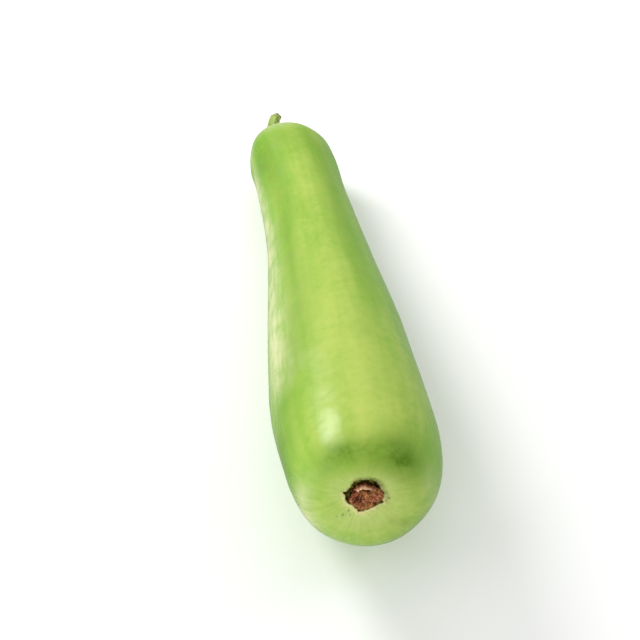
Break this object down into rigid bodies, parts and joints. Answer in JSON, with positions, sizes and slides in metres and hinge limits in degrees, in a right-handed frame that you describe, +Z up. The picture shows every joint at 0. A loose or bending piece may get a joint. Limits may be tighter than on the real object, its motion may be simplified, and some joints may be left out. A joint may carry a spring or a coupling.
{
  "type": "bottle gourd",
  "caption": "Long pale green bottle gourd lying on its side, with a ribbed stalk stub in a creased dimple and a dry flower scar in a pit at the other end.",
  "frame": {"origin": "on the surface that the gourd lies on, under the middle of its box", "axes": "+Y along the fruit from the blossom end to the stalk end, +Z up, +X to the right when looking from the blossom end"},
  "size_m": [0.081, 0.3496, 0.0914],
  "materials": {
    "fruit_skin": "smooth waxy skin, pale yellow-green with darker green bands, semi-gloss",
    "stalk_green": "dull, ribbed and slightly hairy, olive green, dry and brown at the cut",
    "dry_flower": "matt, crumpled, reddish brown"
  },
  "bodies": {
    "root": {"fruit": "fruit_skin", "stalk": "stalk_green", "blossom_scar": "dry_flower"}
  },
  "joints": []
}
